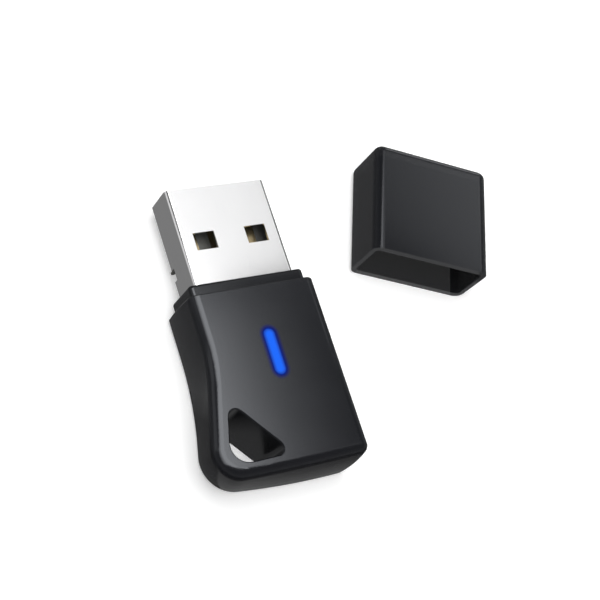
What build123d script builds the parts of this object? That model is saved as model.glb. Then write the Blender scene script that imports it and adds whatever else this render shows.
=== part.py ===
from build123d import *
import math
import os

# USB Bluetooth adapter with its plug cap taken off, both lying flat. Millimetres.
# Origin: on the plug's axis, in the front face of the collar that the plug leaves.
# +Y points out of the plug, +Z up through the lit bar, +X to the right seen from behind.

# Clearances: between pieces that slide together, and between pieces that only seat
slip = 0.03
seat = 0.05

# Plug shell: sheet folded to a tube
plug_width = 12.0
plug_height = 4.5
plug_length = 11.05
plug_bend = 0.5
sheet = 0.3
seam_gap = 0.06
window_width = 2.5
window_length = 2.0
window_pitch = 6.16
window_setback = 5.2
notch_length = 1.3
notch_height = 1.1
notch_setback = 7.6
shell_tail = 4.0
leg_length = 1.5
leg_drop = 0.35
leg_rise = 0.9
leg_setback = 0.4

# Plug insulator: tongue and rear block
tongue_height = 1.95
tongue_setback = 0.6
tongue_chamfer = 0.3
block_length = 5.6
tooth_length = 0.3

# Contact strips in the tongue
contact_width = 1.0
contact_thickness = 0.25
contact_proud = 0.05
power_pitch = 7.0
data_pitch = 2.0
power_setback = 0.6
data_setback = 1.6
contact_hook = 0.5
step_setback = 0.3
step_length = 0.4
tail_length = 1.4

# Collar round the plug
collar_side_margin = 0.8
collar_top_margin = 0.5
collar_proud = 1.4
collar_seat = 1.6
collar_radius = 0.45
collar_edge = 0.35

# Housing: a sleeve whose left side flares out, more at its top than at its bottom
shoulder_side_margin = 0.58
shoulder_top_margin = 0.85
body_length = 20.4
body_wall = 0.9
wall_bulge = 0.2
top_round = 1.1
bottom_edge = 0.5
rim_edge = 0.15
end_crown_top = 600.0
end_crown_bottom = 90.0
end_crown_x = 5.5
end_lean = 0.6
right_corner = 1.0
left_corner_top = 2.9
left_corner_bottom = 3.7
flare_length = 15.5
flare_bend_top = 14.0
flare_bend_bottom = 42.0
flare_slope_top = 0.28
flare_slope_bottom = 0.24

# Lanyard hole: a rounded triangle with its left side along the flare
hole_wall = 0.9
hole_side_margin = 0.53
hole_setback = 2.2
hole_length = 6.5
hole_slope = 1.236
hole_lean_bottom = 0.165
hole_apex_radius = 0.8
hole_right_radius = 0.75
hole_left_radius = 1.9
hole_edge = 0.12

# Light bar in the top face, with a flange under the wall and a stem down to the light
bar_width = 1.25
bar_length = 5.0
bar_setback = 7.5
bar_flange = 0.5
bar_flange_height = 0.5
bar_stem_length = 1.6
light_gap = 0.15

# Circuit board, and the ledges that it slides between
board_thickness = 0.8
board_top = -0.5
board_gap = 0.3
board_setback = 0.4
ledge_width = 0.9
ledge_height = 0.7
ledge_front = 2.0
ledge_length = 5.6

# Board parts: length along the board, width and height of each package
light_size = (1.6, 0.8, 0.6)
radio_size = (4.0, 4.0, 0.85)
crystal_size = (3.2, 2.5, 0.75)
regulator_size = (2.9, 1.6, 1.1)
flash_size = (3.0, 4.4, 1.0)
guard_size = (2.0, 1.25, 0.95)
filter_size = (2.0, 1.25, 0.7)
bead_size = (1.6, 0.8, 0.8)
capacitor_size = (1.0, 0.5, 0.5)
resistor_size = (1.0, 0.5, 0.35)
package_standoff = 0.1
lead_thickness = 0.12
lead_width = 0.35
lead_foot_length = 0.55
lead_shoulder = 0.25
lead_pitch = 0.95
flash_pitch = 0.65
flash_leads = (-1.5, -0.5, 0.5, 1.5)
guard_pitch = 0.65
terminal_length = 0.25
terminal_step = 0.03
solder_length = 0.35
solder_width = 0.9

# Board parts: distance right of the board's middle, or in from one of its sides, and behind its front edge
crystal_inset = 2.8
crystal_setback = 5.6
bead_place = (-1.4, 7.9)
guard_place = (0.0, 2.6)
flash_place = (0.0, 7.6)
capacitor_places = ((-1.4, 5.0), (-1.4, 6.4), (0.4, 2.9))
capacitor_places_below = ((-3.4, 6.9), (3.4, 6.9))
resistor_row_x = -0.6
resistor_pitch = 0.95
resistor_setback = 2.9
resistor_count = 5
regulator_inset = 2.8
regulator_setback = 4.0
supply_capacitor_inset = 1.0
supply_capacitor_setback = 2.9

# Printed antenna across the board's rear end
copper = 0.1
track = 0.4
antenna_pitch = 0.9
antenna_turns = 6
antenna_reach = 1.9
antenna_margin = 0.35
feed_gap = 0.3

# Cap, and how it lies beside the adapter
cap_wall = 0.9
cap_end_gap = 0.35
cap_round = 1.0
cap_inner_edge = 0.4
cap_turn = -22.0
cap_x = 25.8
cap_y = 4.4

# Places worked out from the sizes above
inner_width = plug_width - 2 * sheet
inner_height = plug_height - 2 * sheet
collar_width = plug_width + 2 * collar_side_margin
collar_height = plug_height + 2 * collar_top_margin
body_width = collar_width + 2 * shoulder_side_margin
body_height = collar_height + 2 * shoulder_top_margin
tongue_top = slip - inner_height / 2 + tongue_height
tongue_tip = plug_length - tongue_setback
contact_top = tongue_top + contact_proud
contact_bottom = contact_top - contact_thickness
shell_rear = -shell_tail
block_front = shell_rear + block_length
windows_y = plug_length - window_setback - window_length / 2
shoulder = -collar_proud
mouth_rear = shoulder - collar_seat
body_rear = shoulder - body_length
body_top = body_height / 2
body_bottom = -body_height / 2
cavity_top = body_top - body_wall
cavity_bottom = body_bottom + body_wall
cavity_side = body_width / 2 - body_wall
cavity_rear = body_rear + end_lean + body_wall
hole_rear = body_rear + hole_setback
hole_apex_x = -body_width / 2 + hole_side_margin
hole_apex_y = hole_rear + hole_length
bar_y = shoulder - bar_setback
board_front = shell_rear - board_setback
board_rear = cavity_rear + board_gap
board_side = cavity_side - board_gap
board_bottom = board_top - board_thickness
leg_front = board_front - leg_setback
tail_rear = board_front - tail_length
antenna_rear = board_rear + antenna_margin
antenna_front = antenna_rear + antenna_reach
radio_front = min(bar_y - light_size[0] / 2, board_front - regulator_setback - regulator_size[0] / 2)
radio_y = (radio_front + antenna_front) / 2
contact_places = {
    "contact_vbus": (power_pitch / 2, power_setback),
    "contact_data_minus": (data_pitch / 2, data_setback),
    "contact_data_plus": (-data_pitch / 2, data_setback),
    "contact_ground": (-power_pitch / 2, power_setback),
}


def block(x0, x1, y0, y1, z0, z1):
    """A box between the given limits."""
    centre = ((x0 + x1) / 2, (y0 + y1) / 2, (z0 + z1) / 2)
    return Pos(*centre) * Box(abs(x1 - x0), abs(y1 - y0), abs(z1 - z0))


def sleeve_section(width, height, radius, front, rear):
    """A rounded rectangle run along Y from its front to its rear."""
    section = Plane.XZ.offset(-front) * RectangleRounded(width, height, radius)
    return extrude(section, front - rear)


def prism(outline, low, high):
    """A plan outline raised from one height to another."""
    return extrude(Plane.XY.offset(low) * outline, high - low)


def nearest(outline, x, y):
    """The corner of a plan outline that lies nearest to a point."""
    return outline.vertices().sort_by_distance((x, y, 0))[0]


def between(bottom, top, level):
    """A value between the one at the body's bottom, level 0, and the one at its top, level 1."""
    return bottom + (top - bottom) * level


def body_outline(level):
    """Plan of the wall at a level: straight sides, a crowned end and the flare on the left."""
    bulge = 4 * wall_bulge * level * (1 - level)
    side = body_width / 2 + bulge
    rear = body_rear - bulge + end_lean * level
    flare_slope = between(flare_slope_bottom, flare_slope_top, level)
    flare_bend = between(flare_bend_bottom, flare_bend_top, level)
    end_curve = between(1 / end_crown_bottom, 1 / end_crown_top, level)
    bend_y = body_rear + flare_length
    turn = math.atan(flare_slope)

    def bend_point(angle):
        return -side - flare_bend * (1 - math.cos(angle)), bend_y - flare_bend * math.sin(angle)

    def end_y(x):
        return rear + end_curve * (x - end_crown_x) ** 2 / 2

    bend_x, bend_rear = bend_point(turn)
    left_y = end_y(bend_x - flare_slope * (bend_rear - rear))
    left = (bend_x - flare_slope * (bend_rear - left_y), left_y)
    right = (side, end_y(side))
    sides = Polyline((-side, bend_y), (-side, shoulder), (side, shoulder), right)
    end = ThreePointArc(right, (0, end_y(0)), left)
    flare = Line(left, bend_point(turn)) + ThreePointArc(bend_point(turn), bend_point(turn / 2), bend_point(0))
    outline = fillet(nearest(make_face(sides + end + flare), *right), right_corner)
    outline = fillet(nearest(outline, *left), between(left_corner_bottom, left_corner_top, level))
    return Plane.XY.offset(between(body_bottom, body_top, level)) * outline


def hole_outline(level):
    """Plan of the lanyard hole at a level, its left side as steep as the flare there."""
    right_x = hole_apex_x + hole_length / hole_slope
    left_x = hole_apex_x - between(hole_lean_bottom, flare_slope_top, level) * hole_length
    apex = (hole_apex_x, hole_apex_y)
    outline = make_face(Polyline(apex, (right_x, hole_rear), (left_x, hole_rear), close=True))
    outline = fillet(nearest(outline, *apex), hole_apex_radius)
    outline = fillet(nearest(outline, right_x, hole_rear), hole_right_radius)
    outline = fillet(nearest(outline, left_x, hole_rear), hole_left_radius)
    return Plane.XY.offset(between(body_bottom, body_top, level)) * outline


def oblique_x(y, inset):
    """Where the wall along the lanyard hole, or a line inset from it, crosses the body's width."""
    shift = (hole_wall + inset) * math.hypot(1, hole_slope)
    return hole_apex_x + (hole_apex_y + shift - y) / hole_slope


def inside_outline(inset, front):
    """Plan of the inside, cut off obliquely along the lanyard hole's wall."""
    side = cavity_side - inset
    rear = cavity_rear + inset
    rear_x = oblique_x(rear, inset)
    side_y = rear + hole_slope * (rear_x + side)
    return make_face(Polyline(
        (side, front), (side, rear), (rear_x, rear), (-side, side_y), (-side, front), close=True))


def housing():
    """Moulded sleeve, open at its front, with a wall left round the lanyard hole."""
    body = loft([body_outline(0), body_outline(1 / 2), body_outline(1)])

    def long_edges(face):
        return [edge for edge in face.edges() if edge.center().Y < shoulder - seat]

    body = fillet(long_edges(body.faces().sort_by(Axis.Z)[-1]), top_round)
    body = chamfer(long_edges(body.faces().sort_by(Axis.Z)[0]), bottom_edge)
    body = chamfer(body.faces().sort_by(Axis.Y)[-1].edges(), rim_edge)
    body -= loft([hole_outline(0), hole_outline(1)], ruled=True)
    body = chamfer(body.faces().sort_by(Axis.Z)[-1].inner_wires()[0].edges(), hole_edge)

    body -= prism(inside_outline(0, shoulder), cavity_bottom, cavity_top)
    body -= sleeve_section(collar_width + 2 * seat, collar_height + 2 * seat, collar_radius + seat,
                           shoulder, mouth_rear)
    body -= prism(bar_outline(seat), cavity_top, body_top)
    return body + ledges()


def ledges():
    """Two pairs of ledges along the inside that the board slides between."""
    front = board_front - ledge_front
    rear = front - ledge_length
    pieces = []
    for side in (-1, 1):
        wall = side * (cavity_side + seat)
        lower_edge = side * (board_side - ledge_width)
        upper_edge = side * (board_side - ledge_width / 2)
        pieces.append(block(lower_edge, wall, front, rear, cavity_bottom - seat, board_bottom - slip))
        pieces.append(block(upper_edge, wall, front, rear, board_top + slip, board_top + ledge_height))
    return pieces


def bar_outline(grow):
    """Plan of the light bar, with round ends."""
    return Pos(0, bar_y) * SlotOverall(bar_length + 2 * grow, bar_width + 2 * grow, rotation=90)


def light_pipe():
    """Lit bar, flush with the top face, with its flange and its stem."""
    flange_top = cavity_top - slip
    flange_low = flange_top - bar_flange_height
    stem_low = board_top + light_size[2] + light_gap
    stem = block(-bar_width / 2, bar_width / 2, bar_y - bar_stem_length / 2, bar_y + bar_stem_length / 2,
                 stem_low, flange_low)
    return prism(bar_outline(0), flange_top, body_top) + prism(bar_outline(bar_flange), flange_low, flange_top) + stem


def front_collar():
    """Frame that fills the housing's mouth and stands proud of it, open for the plug."""
    collar = sleeve_section(collar_width, collar_height, collar_radius, 0, mouth_rear)
    collar = fillet(collar.faces().sort_by(Axis.Y)[-1].edges(), collar_edge)
    return collar - sleeve_section(plug_width + 2 * slip, plug_height + 2 * slip, plug_bend + slip, 0, mouth_rear)


def notch(side, near, length, inset):
    """The space of the notch in a lower corner of the plug, or of a piece inset in its front end."""
    front = plug_length - notch_setback
    low = -plug_height / 2
    return block(side * near, side * plug_width / 2, front - inset, front - length, low, low + notch_height - inset)


def plug_shell():
    """Folded tube with its seam below, four windows, a notch in each lower corner and two legs."""
    shell = sleeve_section(plug_width, plug_height, plug_bend, plug_length, shell_rear)
    shell -= sleeve_section(inner_width, inner_height, plug_bend - sheet, plug_length, shell_rear)
    outer = plug_width / 2
    for side in (-1, 1):
        x = side * window_pitch / 2
        shell -= block(x - window_width / 2, x + window_width / 2, windows_y - window_length / 2,
                       windows_y + window_length / 2, -plug_height / 2, plug_height / 2)
        shell -= notch(side, outer - plug_bend, notch_length, 0)
        shell += block(side * (outer - sheet), side * outer, shell_rear, leg_front - leg_length,
                       board_bottom - leg_drop, board_top + leg_rise)
        shell -= block(side * (outer - sheet), side * outer, shell_rear, leg_front,
                       board_bottom - leg_drop, board_bottom)
    return shell - block(-seam_gap / 2, seam_gap / 2, plug_length, shell_rear, -plug_height / 2, 0)


def plug_insulator():
    """Tongue and rear block in one, channelled for the contacts, with a tooth in each notch of the shell."""
    width = inner_width - 2 * slip
    height = inner_height - 2 * slip
    low = -height / 2
    nose = tongue_tip - tongue_chamfer
    profile = Plane.YZ.offset(-width / 2) * make_face(Polyline(
        (nose, low), (tongue_tip, low + tongue_chamfer), (tongue_tip, tongue_top - tongue_chamfer),
        (nose, tongue_top), (block_front, tongue_top), (block_front, height / 2),
        (shell_rear, height / 2), (shell_rear, low), close=True))
    body = extrude(profile, width) & sleeve_section(width, height, plug_bend - sheet, tongue_tip, shell_rear)
    for side in (-1, 1):
        body += notch(side, width / 2 - seat, tooth_length, slip)
    for x, setback in contact_places.values():
        left = x - contact_width / 2 - slip
        right = x + contact_width / 2 + slip
        front = tongue_tip - setback + slip
        hook_rear = tongue_tip - setback - contact_thickness - slip
        body -= block(left, right, front, shell_rear, contact_bottom, contact_top + slip)
        body -= block(left, right, front, hook_rear, contact_bottom - contact_hook, contact_bottom)
    return body


def contact(x, setback):
    """Strip with its front end hooked down into the tongue and its tail stepped down to the board."""
    front = tongue_tip - setback
    hook_rear = front - contact_thickness
    hook_low = contact_bottom - contact_hook
    step_front = shell_rear - step_setback
    step_rear = step_front - step_length
    tail_top = board_top + contact_thickness
    profile = make_face(Polyline(
        (front, hook_low), (front, contact_top), (step_front, contact_top), (step_rear, tail_top),
        (tail_rear, tail_top), (tail_rear, board_top), (step_rear, board_top), (step_front, contact_bottom),
        (hook_rear, contact_bottom), (hook_rear, hook_low), close=True))
    bend = profile.vertices().sort_by_distance((front, contact_top, 0))[0]
    profile = fillet(bend, contact_thickness - slip)
    return extrude(Plane.YZ.offset(x - contact_width / 2) * profile, contact_width)


def circuit_board():
    """Board cut to the inside's plan, notched at its front corners for the shell's legs."""
    board = prism(inside_outline(board_gap, board_front), board_bottom, board_top)
    notch_side = plug_width / 2 - sheet - seat
    for side in (-1, 1):
        board -= block(side * notch_side, side * board_side, board_front, leg_front - leg_length - seat,
                       board_bottom, board_top)
    return board


def on_board(piece, place):
    """Set a piece that stands on Z = 0 on top of the board."""
    return Pos(place[0], board_front - place[1], board_top) * piece


def under_board(piece, place):
    """Hang a piece that stands on Z = 0 under the board."""
    return Pos(place[0], board_front - place[1], board_bottom) * Rot(0, 180, 0) * piece


def standing_box(length, width, height, low=0.0):
    """A box centred on the Z axis, its length along Y, from one height up to another."""
    return block(-width / 2, width / 2, -length / 2, length / 2, low, height)


def chip_part(size):
    """Ceramic chip along Y, with a plated end a little prouder than its body on each side."""
    length, width, height = size
    piece = standing_box(length, width - 2 * terminal_step, height - terminal_step)
    for side in (-1, 1):
        end = side * length / 2
        piece += block(-width / 2, width / 2, end, end - side * terminal_length, 0, height)
    return piece


def capacitors():
    """Capacitors on both sides of the board."""
    supply = (board_side - supply_capacitor_inset, supply_capacitor_setback)
    above = [on_board(chip_part(capacitor_size), place) for place in (*capacitor_places, supply)]
    below = [under_board(chip_part(capacitor_size), place) for place in capacitor_places_below]
    return Compound(above + below)


def resistors():
    """Row of resistors behind the contacts' tails."""
    row = [(resistor_row_x - i * resistor_pitch, resistor_setback) for i in range(resistor_count)]
    return Compound([on_board(chip_part(resistor_size), place) for place in row])


def leaded_chip(size, pitch, left_leads, right_leads):
    """Moulded package on Z = 0 whose leads leave both sides at mid height and turn down."""
    length, width, height = size
    package = standing_box(length, width, height, package_standoff)
    near = width / 2
    bend = near + lead_shoulder
    foot = near + lead_foot_length
    middle = (height + package_standoff) / 2
    half = lead_thickness / 2
    profile = make_face(Polyline(
        (near, middle - half), (bend - lead_thickness, middle - half), (bend - lead_thickness, 0), (foot, 0),
        (foot, lead_thickness), (bend, lead_thickness), (bend, middle + half), (near, middle + half), close=True))
    for step in right_leads:
        package += extrude(Plane.XZ.offset(-step * pitch - lead_width / 2) * profile, lead_width)
    for step in left_leads:
        lead = extrude(Plane.XZ.offset(-step * pitch - lead_width / 2) * profile, lead_width)
        package += mirror(lead, Plane.YZ)
    return package


def radio_chip():
    """Square flat package with its orientation dimple."""
    length, width, height = radio_size
    package = standing_box(length, width, height)
    dimple = Pos(-width / 3, length / 3, height) * Cylinder(height / 4, height / 8)
    return Pos(radio_x, radio_y, board_top) * (package - dimple)


def crystal():
    """Ceramic tray with a smaller metal lid on it."""
    length, width, height = crystal_size
    lid = extrude(RectangleRounded(width - height / 2, length - height / 2, height / 3), height)
    return on_board(standing_box(length, width, height * 0.6) + lid, (crystal_inset - board_side, crystal_setback))


def status_led():
    """Light on the board, a clear block on a slightly larger base."""
    length, width, height = light_size
    base = standing_box(length, width, height / 2)
    lens = standing_box(length - height, width, height)
    return on_board(base + lens, (0, board_front - bar_y))


def board_antenna():
    """Printed meander across the board's rear end, with a feed to the filter."""
    left = radio_x - (antenna_turns - 1) * antenna_pitch / 2
    pieces = []
    for i in range(antenna_turns):
        x = left + i * antenna_pitch
        pieces.append((x - track / 2, x + track / 2, antenna_rear, antenna_front))
        if i:
            edge = antenna_rear if i % 2 else antenna_front - track
            pieces.append((x - antenna_pitch, x, edge, edge + track))
    pieces.append((filter_x - track / 2, left, antenna_front - track, antenna_front))
    pieces.append((filter_x - track / 2, filter_x + track / 2, antenna_front - track,
                   radio_y - filter_size[0] / 2 - feed_gap))
    return Part() + [block(*piece, board_top, board_top + copper) for piece in pieces]


def solder_joints():
    """Sloping fillets behind the contacts' tails and beside the shell's legs."""
    tail = Plane.YZ * make_face(Polyline(
        (0, 0), (-solder_length, 0), (0, contact_thickness), close=True))
    joints = [Pos(x - solder_width / 2, tail_rear, board_top) * extrude(tail, solder_width)
              for x, setback in contact_places.values()]
    leg = Plane.XZ * make_face(Polyline((0, 0), (-solder_length, 0), (0, leg_drop), close=True))
    inner = plug_width / 2 - sheet
    rear = leg_front - (leg_length + solder_width) / 2
    right = Pos(inner, rear, board_top) * extrude(leg, -solder_width)
    right_under = Pos(inner, rear, board_bottom) * extrude(mirror(leg, Plane.XY), -solder_width)
    for joint in (right, right_under):
        joints += [joint, mirror(joint, Plane.YZ)]
    return Compound(joints)


def cap():
    """Closed cap with the housing's section and a hollow that fits the collar, as it lies."""
    depth = plug_length + collar_proud + cap_end_gap
    length = depth + cap_wall
    outer = sleeve_section(body_width, body_height, top_round, length, 0)
    outer = fillet(outer.faces().sort_by(Axis.Y)[-1].edges(), cap_round)
    hollow = sleeve_section(collar_width + 2 * seat, collar_height + 2 * seat, collar_radius + seat, depth, 0)
    hollow = chamfer(hollow.faces().sort_by(Axis.Y)[-1].edges(), cap_inner_edge)
    return Pos(cap_x, cap_y, 0) * Rot(0, 0, cap_turn) * Pos(0, -length / 2, 0) * (outer - hollow)


radio_x = (board_side + oblique_x(antenna_rear, board_gap)) / 2
filter_x = radio_x - radio_size[1] / 2 - filter_size[1] / 2 - feed_gap

nodes = {
    "housing": housing(),
    "front_collar": front_collar(),
    "plug_shell": plug_shell(),
    "plug_insulator": plug_insulator(),
    "light_pipe": light_pipe(),
    "circuit_board": circuit_board(),
    "radio_chip": radio_chip(),
    "crystal": crystal(),
    "voltage_regulator": on_board(leaded_chip(regulator_size, lead_pitch, (-1, 0, 1), (-1, 1)),
                                  (board_side - regulator_inset, regulator_setback)),
    "flash_chip": under_board(leaded_chip(flash_size, flash_pitch, flash_leads, flash_leads), flash_place),
    "esd_array": under_board(leaded_chip(guard_size, guard_pitch, (-1, 0, 1), (-1, 0, 1)), guard_place),
    "band_filter": Pos(filter_x, radio_y, board_top) * chip_part(filter_size),
    "ferrite_bead": on_board(chip_part(bead_size), bead_place),
    "capacitors": capacitors(),
    "resistors": resistors(),
    "status_led": status_led(),
    "board_antenna": board_antenna(),
    "solder_joints": solder_joints(),
    "cap": cap(),
}
for name, place in contact_places.items():
    nodes[name] = contact(*place)

os.makedirs("parts", exist_ok=True)
for name, shape in nodes.items():
    export_step(shape, f"parts/{name}.step")
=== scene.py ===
import bpy
import numpy as np
from mathutils import Matrix, Vector


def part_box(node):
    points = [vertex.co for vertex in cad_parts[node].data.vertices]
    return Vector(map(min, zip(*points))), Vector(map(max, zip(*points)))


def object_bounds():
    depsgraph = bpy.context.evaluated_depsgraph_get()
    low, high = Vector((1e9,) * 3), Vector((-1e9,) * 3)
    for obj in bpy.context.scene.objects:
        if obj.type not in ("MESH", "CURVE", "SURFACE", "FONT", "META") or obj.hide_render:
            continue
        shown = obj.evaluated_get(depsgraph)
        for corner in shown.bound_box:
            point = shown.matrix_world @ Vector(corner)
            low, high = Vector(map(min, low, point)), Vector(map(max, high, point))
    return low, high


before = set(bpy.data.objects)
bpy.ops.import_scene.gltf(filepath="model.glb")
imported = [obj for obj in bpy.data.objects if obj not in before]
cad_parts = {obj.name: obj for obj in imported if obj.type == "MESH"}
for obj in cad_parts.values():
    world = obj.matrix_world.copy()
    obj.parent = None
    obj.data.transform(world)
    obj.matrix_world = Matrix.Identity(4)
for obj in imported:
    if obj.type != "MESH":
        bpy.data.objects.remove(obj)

cad_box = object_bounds()


# ---- Circuit board ----
# A small glass laminate board, 0.8 mm thick, under a green solder mask. Its woven glass shows
# faintly through the mask. It slides between the ledges inside the housing.

def finish(name, colour, roughness, metallic=0.0, **sockets):
    """A material with one Principled shader; sockets are named with _ for a space."""
    material = bpy.data.materials.new(name)
    material.use_nodes = True
    shader = material.node_tree.nodes["Principled BSDF"]
    shader.inputs["Base Color"].default_value = (*colour, 1)
    shader.inputs["Roughness"].default_value = roughness
    shader.inputs["Metallic"].default_value = metallic
    for socket, value in sockets.items():
        shader.inputs[socket.replace("_", " ")].default_value = value
    return material


def dress(material, *names):
    """Give the material to every slot of these frame nodes."""
    for name in names:
        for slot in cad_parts[name].material_slots:
            slot.material = material


def add_node(tree, kind, inputs=(), **settings):
    """A node of the kind with its settings; inputs maps a socket's name or place to a value or an output."""
    node = tree.nodes.new(kind)
    for name, value in settings.items():
        setattr(node, name, value)
    for socket, value in dict(inputs).items():
        if isinstance(value, bpy.types.NodeSocket):
            tree.links.new(value, node.inputs[socket])
        else:
            node.inputs[socket].default_value = value
    return node


def mixed(tree, mask, low, high):
    """A colour between two, by a mask from 0 to 1. A Mix node takes colours at 6 and 7 and gives one at 2."""
    ends = {socket: colour if isinstance(colour, bpy.types.NodeSocket) else (*colour, 1)
            for socket, colour in ((6, low), (7, high))}
    return add_node(tree, "ShaderNodeMix", {"Factor": mask, **ends}, data_type="RGBA").outputs[2]


board_green = (0.006, 0.075, 0.030)
board_thread = (0.012, 0.115, 0.050)
weave_scale = 1400.0
board_finish = finish("board_laminate", board_green, roughness=0.35)
tree = board_finish.node_tree
place = add_node(tree, "ShaderNodeTexCoord").outputs["Object"]
warp = add_node(tree, "ShaderNodeTexWave", {"Vector": place, "Scale": weave_scale}, bands_direction="X")
weft = add_node(tree, "ShaderNodeTexWave", {"Vector": place, "Scale": weave_scale}, bands_direction="Y")
weave = add_node(tree, "ShaderNodeMath", {0: warp.outputs["Fac"], 1: weft.outputs["Fac"]},
                 operation="MULTIPLY")
tree.links.new(mixed(tree, weave.outputs[0], board_green, board_thread),
               tree.nodes["Principled BSDF"].inputs["Base Color"])
dress(board_finish, "circuit_board")


# ---- Chips and small parts on the board ----
# Moulded packages, ceramic chips with plated ends, a metal crystal lid and the etched antenna.
# Each is soldered to the board.

def shared_group(name, inputs, outputs):
    """A node group with named sockets: inputs as name: (kind, value), outputs as name: kind."""
    group = bpy.data.node_groups.new(name, "ShaderNodeTree")
    for title, (kind, value) in inputs.items():
        group.interface.new_socket(name=title, in_out="INPUT", socket_type=kind).default_value = value
    for title, kind in outputs.items():
        group.interface.new_socket(name=title, in_out="OUTPUT", socket_type=kind)
    return group, group.nodes.new("NodeGroupInput").outputs, group.nodes.new("NodeGroupOutput").inputs


def use_group(material, group, values, *outputs):
    """Place a group in a material with its own values, and link these outputs to the shader."""
    tree = material.node_tree
    node = add_node(tree, "ShaderNodeGroup", values, node_tree=group)
    for output in outputs:
        tree.links.new(node.outputs[output], tree.nodes["Principled BSDF"].inputs[output])
    return node


def finish_by_noise(tree, outputs, texture, texture_height, patches, inputs, low, high):
    """Colour and bump by a fine texture, roughness by broad patches: (patch - 1/2) * spread + roughness."""
    tree.links.new(mixed(tree, texture, inputs[low], inputs[high]), outputs["Base Color"])
    stray = add_node(tree, "ShaderNodeMath", {0: patches, 1: 0.5}, operation="SUBTRACT")
    rough = add_node(tree, "ShaderNodeMath", {0: stray.outputs[0], 1: inputs["Roughness Spread"],
                                              2: inputs["Roughness"]}, operation="MULTIPLY_ADD")
    tree.links.new(rough.outputs[0], outputs["Roughness"])
    bump = add_node(tree, "ShaderNodeBump", {"Height": texture, "Strength": inputs["Depth"],
                                             "Distance": texture_height})
    tree.links.new(bump.outputs["Normal"], outputs["Normal"])


finish_outputs = {"Base Color": "NodeSocketColor", "Roughness": "NodeSocketFloat",
                  "Normal": "NodeSocketVector"}
grain_height = 0.00002
grain_patch_scale = 260.0
grain_group, grain_in, grain_out = shared_group(
    "moulded_grain",
    {"Colour": ("NodeSocketColor", (0.5, 0.5, 0.5, 1)), "Lighter": ("NodeSocketColor", (0.6, 0.6, 0.6, 1)),
     "Grain Scale": ("NodeSocketFloat", 6000.0), "Depth": ("NodeSocketFloat", 0.1),
     "Roughness": ("NodeSocketFloat", 0.4), "Roughness Spread": ("NodeSocketFloat", 0.06)},
    finish_outputs)
place = add_node(grain_group, "ShaderNodeTexCoord").outputs["Object"]
grain = add_node(grain_group, "ShaderNodeTexNoise",
                 {"Vector": place, "Scale": grain_in["Grain Scale"], "Detail": 2.0}).outputs["Fac"]
patches = add_node(grain_group, "ShaderNodeTexNoise",
                   {"Vector": place, "Scale": grain_patch_scale, "Detail": 3.0}).outputs["Fac"]
finish_by_noise(grain_group, grain_out, grain, grain_height, patches, grain_in, "Colour", "Lighter")


def moulded(name, colour, lighter, grain_scale, depth, roughness, spread=0.06, **sockets):
    """A plastic or ceramic finish with the grain of its mould."""
    material = finish(name, colour, roughness, **sockets)
    use_group(material, grain_group,
              {"Colour": (*colour, 1), "Lighter": (*lighter, 1), "Grain Scale": grain_scale, "Depth": depth,
               "Roughness": roughness, "Roughness Spread": spread}, *finish_outputs)
    return material


dress(moulded("chip_package", (0.010, 0.010, 0.011), (0.018, 0.018, 0.019),
              grain_scale=9000.0, depth=0.3, roughness=0.55),
      "radio_chip", "flash_chip", "esd_array", "voltage_regulator", "resistors")
dress(moulded("chip_ceramic", (0.05, 0.05, 0.055), (0.08, 0.08, 0.085),
              grain_scale=9000.0, depth=0.2, roughness=0.5),
      "band_filter", "ferrite_bead")
dress(moulded("capacitor_ceramic", (0.30, 0.19, 0.10), (0.36, 0.24, 0.13),
              grain_scale=9000.0, depth=0.2, roughness=0.45),
      "capacitors")

line_height = 0.00001
line_patch_scale = 300.0
metal_group, metal_in, metal_out = shared_group(
    "drawn_metal",
    {"Colour": ("NodeSocketColor", (0.8, 0.8, 0.8, 1)), "Darker": ("NodeSocketColor", (0.7, 0.7, 0.7, 1)),
     "Line Scale": ("NodeSocketFloat", 4000.0), "Stretch": ("NodeSocketFloat", 0.05),
     "Depth": ("NodeSocketFloat", 0.05), "Roughness": ("NodeSocketFloat", 0.3),
     "Roughness Spread": ("NodeSocketFloat", 0.1)},
    finish_outputs)
place = add_node(metal_group, "ShaderNodeTexCoord").outputs["Object"]
stretch = add_node(metal_group, "ShaderNodeCombineXYZ",
                   {"X": 1.0, "Y": metal_in["Stretch"], "Z": 1.0}).outputs[0]
drawn = add_node(metal_group, "ShaderNodeVectorMath", {0: place, 1: stretch}, operation="MULTIPLY").outputs[0]
lines = add_node(metal_group, "ShaderNodeTexNoise",
                 {"Vector": drawn, "Scale": metal_in["Line Scale"], "Detail": 3.0}).outputs["Fac"]
patches = add_node(metal_group, "ShaderNodeTexNoise",
                   {"Vector": place, "Scale": line_patch_scale, "Detail": 2.0}).outputs["Fac"]
finish_by_noise(metal_group, metal_out, lines, line_height, patches, metal_in, "Colour", "Darker")


def metal(name, colour, darker, line_scale, depth, roughness, stretch=1.0, spread=0.1):
    """A metal finish with fine marks, drawn out along Y where stretch is small."""
    material = finish(name, colour, roughness, metallic=1.0)
    use_group(material, metal_group,
              {"Colour": (*colour, 1), "Darker": (*darker, 1), "Line Scale": line_scale, "Stretch": stretch,
               "Depth": depth, "Roughness": roughness, "Roughness Spread": spread}, *finish_outputs)
    return material


dress(metal("can_metal", (0.60, 0.57, 0.50), (0.52, 0.49, 0.43),
            line_scale=5000.0, depth=0.1, roughness=0.35),
      "crystal")
dress(metal("copper_track", (0.55, 0.24, 0.09), (0.45, 0.18, 0.06),
            line_scale=5000.0, depth=0.1, roughness=0.35),
      "board_antenna")
dress(metal("solder", (0.62, 0.62, 0.62), (0.50, 0.50, 0.51),
            line_scale=3000.0, depth=0.1, roughness=0.25),
      "solder_joints")


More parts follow.
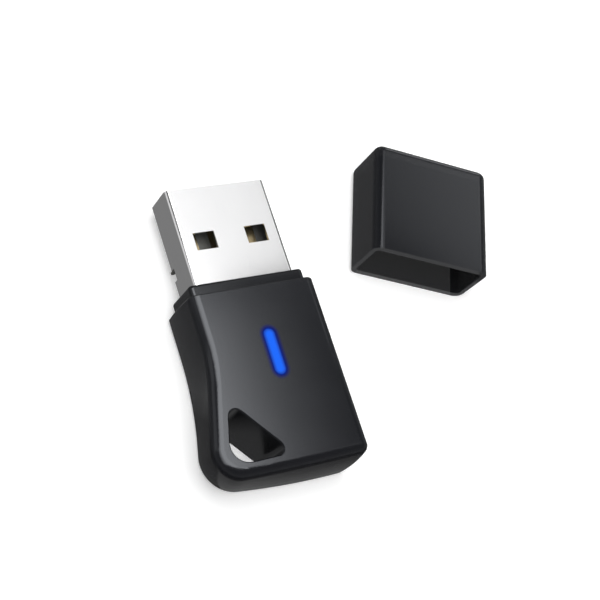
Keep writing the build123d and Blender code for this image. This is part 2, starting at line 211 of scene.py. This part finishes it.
# ---- Contacts and the plug's insulator ----
# Four stamped and gilded strips, dulled by use, lie in channels of a matt black moulding. The moulding
# fills the lower half of the plug's shell, and the strips hook over its front.

dress(metal("contact_gold", (0.36, 0.29, 0.17), (0.30, 0.24, 0.14),
            line_scale=6000.0, depth=0.05, roughness=0.35, stretch=0.1),
      "contact_vbus", "contact_data_minus", "contact_data_plus", "contact_ground")
dress(moulded("black_plastic", (0.058, 0.058, 0.054), (0.074, 0.074, 0.068),
              grain_scale=7000.0, depth=0.2, roughness=0.5),
      "plug_insulator")


# ---- Plug shell ----
# Thin nickel-plated steel folded to a tube, its seam below and its rolling marks running to the mouth.
# Windows for the socket's springs are punched in it, and two legs are soldered to the board.

dress(metal("plug_steel", (0.90, 0.90, 0.90), (0.85, 0.85, 0.86),
            line_scale=5200.0, depth=0.03, roughness=0.13, stretch=0.03, spread=0.04),
      "plug_shell")


# ---- Light bar ----
# A diffusing moulded bar, held under the housing's wall by its flange, carries the blue light of the
# board up to the top face. Its light is emission, blue in its core and deeper blue at its rim, where it is
# a painted glow that spreads onto the housing round it.

bar_low, bar_high = (np.array(corner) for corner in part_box("light_pipe"))
bar_x, bar_y = (bar_low + bar_high)[:2] / 2
bar_half_straight = 0.0019
glow_core = (0.0, 0.128, 0.895)
# The deep blue round the core is a painted glow: it lies on the bar's edge and on the housing round it.
painted_glow_rim = (0.003, 0.010, 0.17)
core_fade = {"Near": 0.00021, "Far": 0.00080}
painted_glow_fade = {"Near": 0.00058, "Far": 0.00128}

# The distance from the bar's middle line is the length of (x, how far y is past the straight part). The
# mask falls smoothly from 1 at Near to 0 at Far.
bar_mask, fade_in, mask_out = shared_group(
    "distance_from_bar", {"Near": ("NodeSocketFloat", 0.0), "Far": ("NodeSocketFloat", 0.001)},
    {"Mask": "NodeSocketFloat"})
tree = bar_mask
place = add_node(tree, "ShaderNodeTexCoord").outputs["Object"]
centred = add_node(tree, "ShaderNodeVectorMath", {0: place, 1: (bar_x, bar_y, 0)}, operation="SUBTRACT")
parts = add_node(tree, "ShaderNodeSeparateXYZ", {0: centred.outputs[0]}).outputs
along = add_node(tree, "ShaderNodeMath", {0: parts["Y"]}, operation="ABSOLUTE").outputs[0]
past = add_node(tree, "ShaderNodeMath", {0: along, 1: bar_half_straight}, operation="SUBTRACT").outputs[0]
past = add_node(tree, "ShaderNodeMath", {0: past, 1: 0.0}, operation="MAXIMUM").outputs[0]
flat = add_node(tree, "ShaderNodeCombineXYZ", {"X": parts["X"], "Y": past}).outputs[0]
away = add_node(tree, "ShaderNodeVectorMath", {0: flat}, operation="LENGTH").outputs["Value"]
mask = add_node(tree, "ShaderNodeMapRange",
                {"Value": away, "From Min": fade_in["Near"], "From Max": fade_in["Far"],
                 "To Min": 1.0, "To Max": 0.0}, interpolation_type="SMOOTHSTEP")
tree.links.new(mask.outputs["Result"], mask_out["Mask"])


def glow(material):
    """Give a material the bar's light as emission: blue in its core, a painted deep blue glow round it, and
    none further out.
    """
    tree = material.node_tree
    core = use_group(material, bar_mask, core_fade).outputs["Mask"]
    rim = use_group(material, bar_mask, painted_glow_fade).outputs["Mask"]
    light = mixed(tree, core, mixed(tree, rim, (0, 0, 0), painted_glow_rim), glow_core)
    tree.links.new(light, tree.nodes["Principled BSDF"].inputs["Emission Color"])
    return rim


light_finish = finish("light_blue", (0.001, 0.006, 0.06), roughness=0.45, Emission_Strength=1.0,
                      Specular_IOR_Level=0.08)
glow(light_finish)
dress(light_finish, "light_pipe", "status_led")


# ---- Housing ----
# One moulded sleeve of charcoal plastic with a fine satin grain. Round the light bar it carries a painted
# blue glow, and there its colour goes black and it is set as metal, so that it has no gloss of its own.

cool_gloss = (0.92, 0.95, 1.0, 1.0)
housing_finish = moulded("housing_plastic", (0.0060, 0.0063, 0.0078), (0.0088, 0.0092, 0.0112),
                         grain_scale=9000.0, depth=0.08, roughness=0.16, spread=0.04,
                         Emission_Strength=1.0, Specular_Tint=cool_gloss)
painted_glow_mask = glow(housing_finish)
tree = housing_finish.node_tree
shader = tree.nodes["Principled BSDF"]
plain_colour = shader.inputs["Base Color"].links[0].from_socket
# Under the painted glow the housing's colour goes black and it is set as metal, which takes its gloss away.
tree.links.new(mixed(tree, painted_glow_mask, plain_colour, (0, 0, 0)), shader.inputs["Base Color"])
tree.links.new(painted_glow_mask, shader.inputs["Metallic"])
dress(housing_finish, "housing")


# ---- Collar ----
# A moulded frame of the same plastic, a little glossier. It is pressed into the housing's mouth round
# the plug, and the cap grips its edge.

dress(moulded("collar_plastic", (0.0045, 0.0047, 0.0056), (0.0065, 0.0068, 0.0080),
              grain_scale=9000.0, depth=0.06, roughness=0.11, spread=0.03, Specular_Tint=cool_gloss),
      "front_collar")


# ---- Cap ----
# A smoky, almost opaque moulding with a polished outside, taken off the plug and laid beside the
# adapter. A little of what lies behind its walls shows through them.

dress(moulded("cap_smoke", (0.0060, 0.0064, 0.0080), (0.0075, 0.0080, 0.0098),
              grain_scale=5000.0, depth=0.02, roughness=0.14, spread=0.03, Alpha=0.93,
              Specular_Tint=cool_gloss),
      "cap")


# ---- The set ----
# A pale floor under one soft lamp, grey cards that only the gloss of the pieces shows, and a camera
# where the photograph was taken from. None of it is part of the object.

def plan(left, right, front, back):
    """The corners of a rectangle seen from above."""
    return (left, front), (right, front), (right, back), (left, back)


def level(outline, height):
    """The corners of an outline, all at one height."""
    return [(x, y, height) for x, y in outline]


def upright(start, end, low, high):
    """The corners of an upright rectangle over the line from start to end."""
    return [(*start, low), (*end, low), (*end, high), (*start, high)]


def stage_piece(name, points, faces, material):
    """A mesh of these points and faces that belongs to the set."""
    mesh = bpy.data.meshes.new(name)
    mesh.from_pydata(points, [], faces)
    mesh.materials.append(material)
    piece = bpy.data.objects.new(name, mesh)
    bpy.context.scene.collection.objects.link(piece)
    return piece


def seen_directly(tree):
    """1 for what the camera, a gloss or a clear piece shows, and 0 for light that falls on a piece."""
    path = add_node(tree, "ShaderNodeLightPath").outputs
    either = add_node(tree, "ShaderNodeMath", {0: path["Is Camera Ray"], 1: path["Is Glossy Ray"]},
                      operation="MAXIMUM").outputs[0]
    return add_node(tree, "ShaderNodeMath", {0: either, 1: path["Is Transmission Ray"]},
                    operation="MAXIMUM").outputs[0]


# The floor shows as white paper: a little light of its own, more of it further from the object.
floor_z = cad_box[0][2]
floor_reach = 1.5
floor_white = (0.82, 0.82, 0.82)
lift_start, lift_end = 0.06, 0.20
floor_lift_near, floor_lift_far = 0.35, 0.72
floor_finish = finish("floor_paper", floor_white, roughness=0.9, Specular_IOR_Level=0.0,
                      Emission_Color=(1, 1, 1, 1))
tree = floor_finish.node_tree
place = add_node(tree, "ShaderNodeTexCoord").outputs["Object"]
distance = add_node(tree, "ShaderNodeVectorMath", {0: place}, operation="LENGTH").outputs["Value"]
lift = add_node(tree, "ShaderNodeMapRange",
                {"Value": distance, "From Min": lift_start, "From Max": lift_end,
                 "To Min": floor_lift_near, "To Max": floor_lift_far}).outputs["Result"]
lift = add_node(tree, "ShaderNodeMath", {0: seen_directly(tree), 1: lift}, operation="MULTIPLY").outputs[0]
tree.links.new(lift, tree.nodes["Principled BSDF"].inputs["Emission Strength"])
stage_piece("floor", level(plan(-floor_reach, floor_reach, -floor_reach, floor_reach), floor_z),
            [(0, 1, 2, 3)], floor_finish)

# The world is white where it is seen, and an even grey fill where it only gives light.
fill_level = 0.40
world = bpy.data.worlds.new("studio")
world.use_nodes = True
bpy.context.scene.world = world
tree = world.node_tree
strength = add_node(tree, "ShaderNodeMapRange",
                    {"Value": seen_directly(tree), "To Min": fill_level, "To Max": 1.0}).outputs["Result"]
tree.links.new(strength, tree.nodes["Background"].inputs["Strength"])
tree.nodes["Background"].inputs["Color"].default_value = (1, 1, 1, 1)

# One soft panel hangs level above. Its power is pi times its area times the brightness of its face.
lamp_width, lamp_depth, lamp_brightness = 0.106, 0.130, 4.0
key_lamp = bpy.data.lights.new("key_lamp", "AREA")
key_lamp.shape = "RECTANGLE"
key_lamp.size, key_lamp.size_y = lamp_width, lamp_depth
key_lamp.energy = np.pi * lamp_width * lamp_depth * lamp_brightness
key_panel = bpy.data.objects.new("key_lamp", key_lamp)
key_panel.location = (-0.008, 0.005, 0.125)
key_panel.visible_camera = key_panel.visible_glossy = False
bpy.context.scene.collection.objects.link(key_panel)


def grey_card(name, points, near, far=None, span=(0, 1), power=1.0, axis="X", faces=None):
    """A card that only gloss shows, as bright as near. With far it is graded over the span of the axis:
    far + (near - far) * (the share of the span that is left) ** power."""
    material = finish(name, (0, 0, 0), roughness=1.0, Specular_IOR_Level=0.0, Emission_Color=(1, 1, 1, 1),
                      Emission_Strength=near)
    if far is not None:
        tree = material.node_tree
        place = add_node(tree, "ShaderNodeTexCoord").outputs["Object"]
        along = add_node(tree, "ShaderNodeSeparateXYZ", {0: place}).outputs[axis]
        left = add_node(tree, "ShaderNodeMapRange",
                        {"Value": along, "From Min": span[0], "From Max": span[1],
                         "To Min": 1.0, "To Max": 0.0}).outputs["Result"]
        curve = add_node(tree, "ShaderNodeMath", {0: left, 1: power}, operation="POWER").outputs[0]
        graded = add_node(tree, "ShaderNodeMath", {0: curve, 1: near - far, 2: far},
                          operation="MULTIPLY_ADD").outputs[0]
        tree.links.new(graded, tree.nodes["Principled BSDF"].inputs["Emission Strength"])
    card = stage_piece(name, points, faces or [tuple(range(len(points)))], material)
    card.visible_camera = card.visible_diffuse = card.visible_transmission = card.visible_shadow = False


# The tent is a grey dome: the radius times (cos turn cos rise, sin turn cos rise, sin rise).
tent_radius = 0.25
tent_turns, tent_rows = 64, 16
turn, rise = np.meshgrid(np.linspace(0, 2 * np.pi, tent_turns + 1), np.linspace(0, np.pi / 2, tent_rows + 1))
dome = np.stack([np.cos(turn) * np.cos(rise), np.sin(turn) * np.cos(rise), np.sin(rise)], axis=-1)
dome = dome.reshape(-1, 3) * tent_radius + (0, 0, floor_z)
rows, columns = np.indices((tent_rows, tent_turns))
corner = (rows * (tent_turns + 1) + columns).ravel()
dome_faces = np.stack([corner, corner + tent_turns + 1, corner + tent_turns + 2, corner + 1], axis=1)
grey_card("tent", dome.tolist(), near=0.30, far=0.12, span=(floor_z + 0.040, floor_z + 0.180), axis="Z",
          faces=dome_faces.tolist())

# Grey cards that only gloss shows lie on the floor for the housing's sides, the lanyard hole and the cap's
# mouth.
# They are painted shade of the floor round the object, darker towards the rear and towards the hole's left
# edge.
# Under the cap's mouth lies a lighter card, which is painted light for the inside of the cap.
floor_card_height = floor_z + 0.00002
mouth_card_height = floor_z + 0.00004
floor_card_reach = 0.2
flare_front, hole_left, rear_line = -0.0095, -0.0078, -0.0205
cap_mouth_front = ((0.0164, 0.0008), (0.0152, -0.0047), (0.0310, -0.0115), (0.0320, -0.0055))
grey_card("floor_shade_card", level(plan(-floor_card_reach, floor_card_reach, flare_front, floor_card_reach), floor_card_height),
          near=0.21)
grey_card("flare_shade_card", level(plan(-floor_card_reach, hole_left, rear_line, flare_front), floor_card_height),
          near=0.21, far=0.09, span=(flare_front, -0.0125), axis="Y")
grey_card("hole_shade_card", level(plan(hole_left, floor_card_reach, rear_line, flare_front), floor_card_height),
          near=0.05, far=0.22, span=(-0.0076, -0.0057))
grey_card("rear_shade_card", level(plan(-floor_card_reach, floor_card_reach, -floor_card_reach, rear_line), floor_card_height),
          near=0.20, far=0.08, span=(-0.0217, -0.0250), axis="Y")
grey_card("cap_mouth_light_card", level(cap_mouth_front, mouth_card_height), near=0.50)

# Level cards hang above: on the left for the rounded left edges, on the right for the top faces.
card_height = 0.126
left_end, right_start = 0.0454, 0.0455
plug_start = 0.0455
top_card_outline = ((-0.115, -0.070), (left_end, -0.031), (left_end, plug_start), (-0.115, plug_start))
grey_card("top_card", level(top_card_outline, card_height), near=0.4, far=5.1, span=(-0.110, -0.030))
grey_card("plug_top_card", level(plan(-0.012, left_end, plug_start, 0.085), card_height), near=2.6)
grey_card("body_card", level(plan(right_start, 0.100, -0.030, 0.0365), card_height),
          near=7.0, far=0.02, span=(right_start, 0.1055), power=5.2)
grey_card("collar_card", level(plan(right_start, 0.0795, 0.0370, 0.0415), card_height),
          near=2.3, far=0.03, span=(0.0505, 0.0755), power=3.0)
grey_card("plug_card", level(plan(right_start, 0.086, 0.0420, 0.110), card_height),
          near=1.06, far=0.95, span=(0.050, 0.080))
cap_card_outline = ((0.121, 0.030), (0.160, 0.030), (0.160, 0.090), (0.090, 0.090), (0.090, 0.056),
                    (0.110, 0.042))
grey_card("cap_card", level(cap_card_outline, card_height), near=0.35, far=1.42, span=(0.095, 0.136))

# Two upright cards stand left of the plug and behind the cap, for their bent and rounded edges.
grey_card("plug_bend_card", upright((-0.15, 0.046), (-0.15, 0.100), low=0.020, high=0.155), near=0.75)
grey_card("cap_edge_card", upright((0.160, 0.168), (0.198, 0.118), low=0.020, high=0.135), near=1.8)

camera_data = bpy.data.cameras.new("camera")
camera_data.lens = 79.19
camera_data.sensor_width = 36.0
camera_data.clip_start = 0.001
camera = bpy.data.objects.new("camera", camera_data)
camera_place = Vector((-0.06391, -0.04046, 0.12061))
camera_back = Vector((-0.4890, -0.2602, 0.8326)).normalized()
camera_top = Vector((0.1487, 0.9156, 0.3735))
camera_right = camera_top.cross(camera_back).normalized()
camera_up = camera_back.cross(camera_right)
camera_turn = Matrix((camera_right, camera_up, camera_back)).transposed().to_4x4()
camera.matrix_world = Matrix.Translation(camera_place) @ camera_turn
bpy.context.scene.collection.objects.link(camera)
bpy.context.scene.camera = camera
bpy.context.scene.view_settings.view_transform = "Standard"
